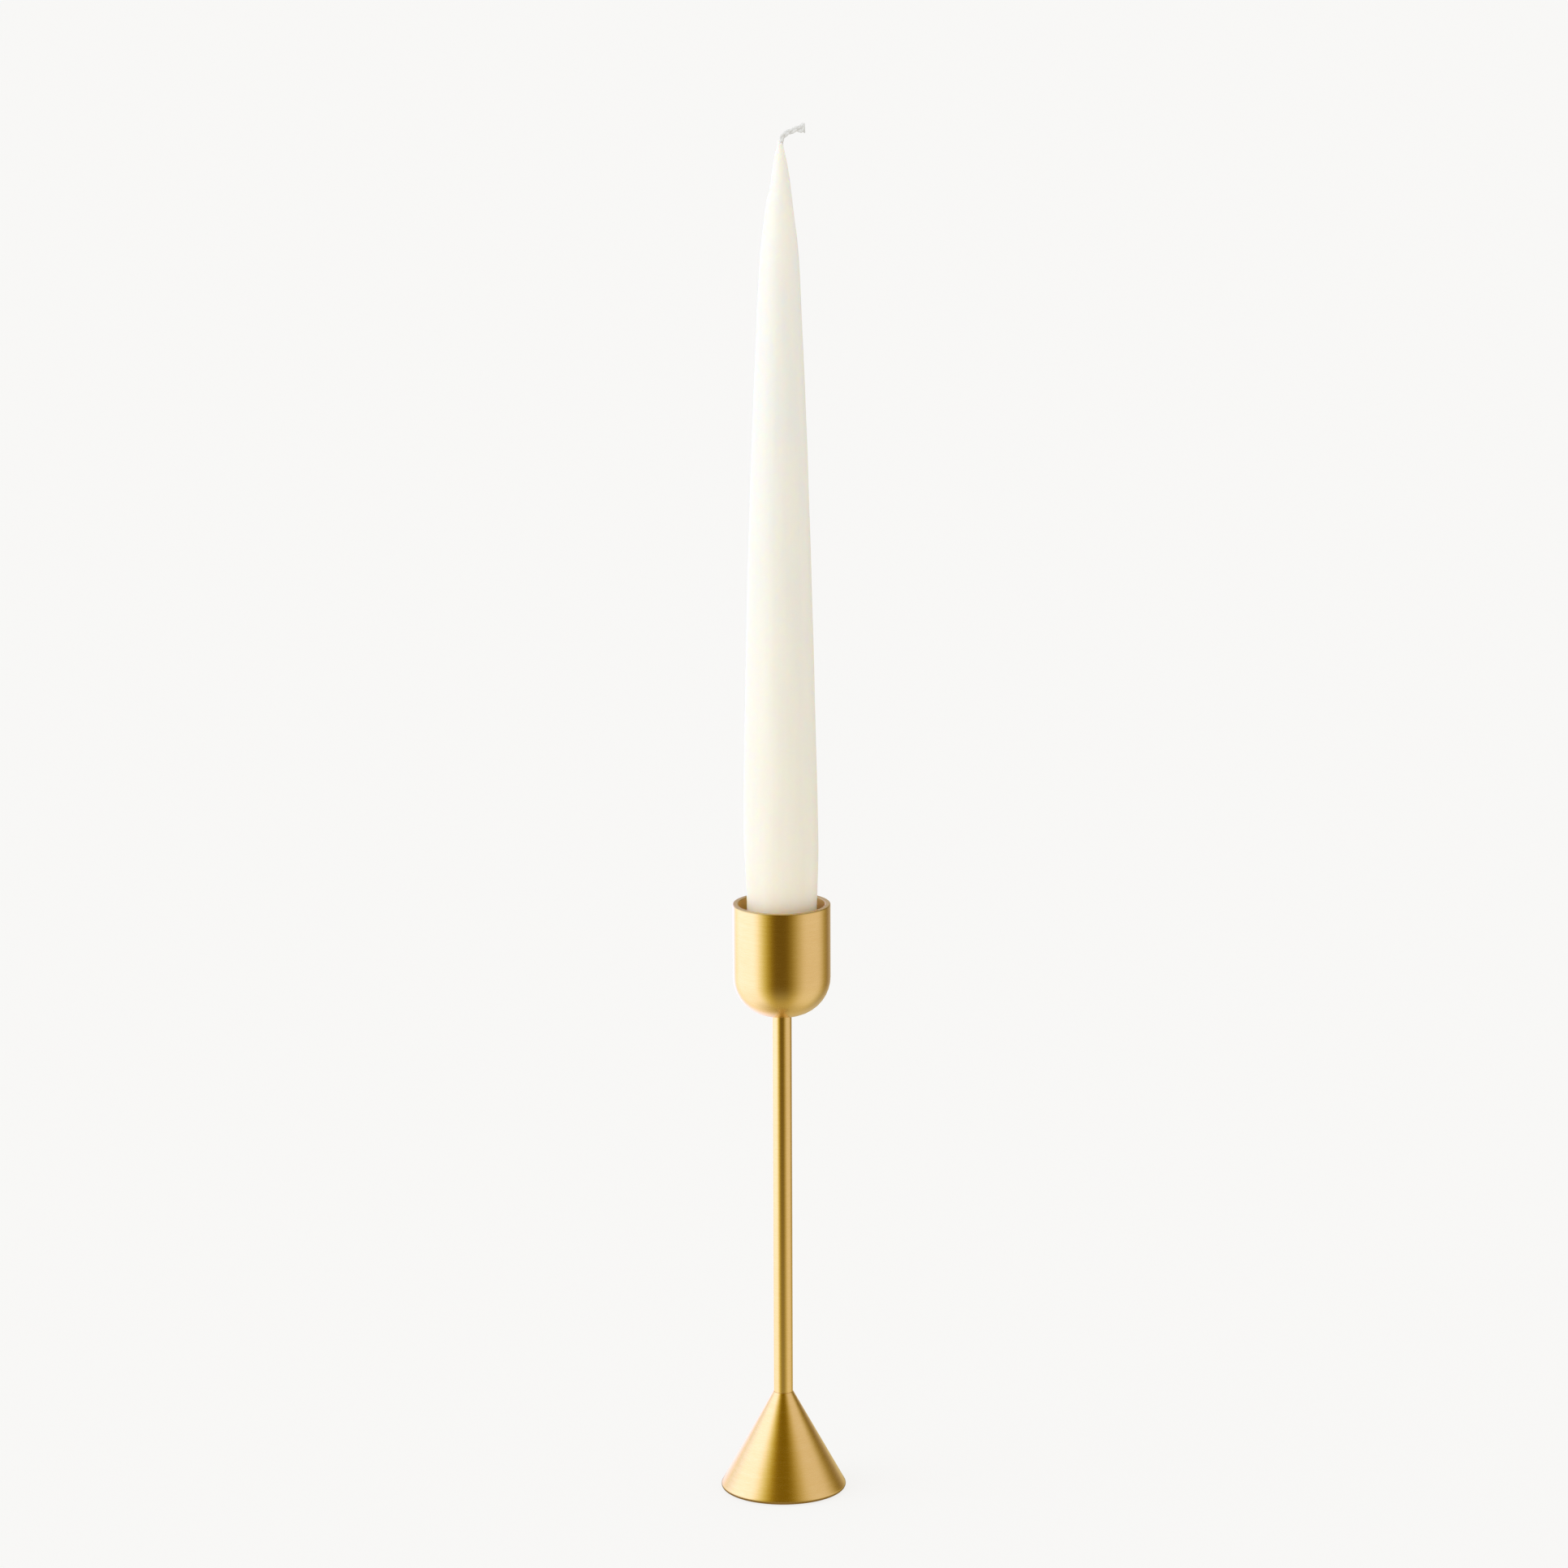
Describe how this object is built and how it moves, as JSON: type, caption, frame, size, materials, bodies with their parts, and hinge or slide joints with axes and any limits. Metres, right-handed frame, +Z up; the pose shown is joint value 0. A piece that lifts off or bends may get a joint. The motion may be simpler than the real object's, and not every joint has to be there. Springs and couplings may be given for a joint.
{
  "type": "candlestick",
  "caption": "Slender turned-brass candlestick with a round-bottomed cup, thin stem and cone foot, holding a lift-out dipped taper candle.",
  "frame": {"origin": "middle of the face that stands on the table, at the bottom of the felt pad, on the turning axis", "axes": "+Z up along the turning axis, +X towards the curled-over end of the wick"},
  "size_m": [0.0378, 0.0378, 0.4158],
  "materials": {
    "candle_wax": "ivory-white dipped wax with a soft sheen",
    "candle_wick": "braided undyed cotton, waxed",
    "candle_cup": "satin, finely brushed round the axis",
    "stem_rod": "satin, finely brushed round the axis",
    "base_cone": "satin, finely brushed round the axis",
    "screw_steel": "zinc-plated socket screw",
    "washer_steel": "stamped, zinc-plated",
    "spring_steel": "zinc-plated spring steel",
    "felt": "dense pressed wool felt, dark brown"
  },
  "bodies": {
    "holder": {"base_cone": "base_cone", "base_pad": "felt", "base_screw": "screw_steel", "base_lock_washer": "spring_steel", "base_flat_washer": "washer_steel", "stem_rod": "stem_rod", "candle_cup": "candle_cup", "cup_screw": "screw_steel", "cup_lock_washer": "spring_steel"},
    "candle": {"candle_wax": "candle_wax", "candle_wick": "candle_wick"}
  },
  "joints": [
    {"name": "candle_lift", "type": "slide", "parent": "holder", "child": "candle", "axis": [0, 0, 1], "range_m": [0, 0.045]}
  ]
}
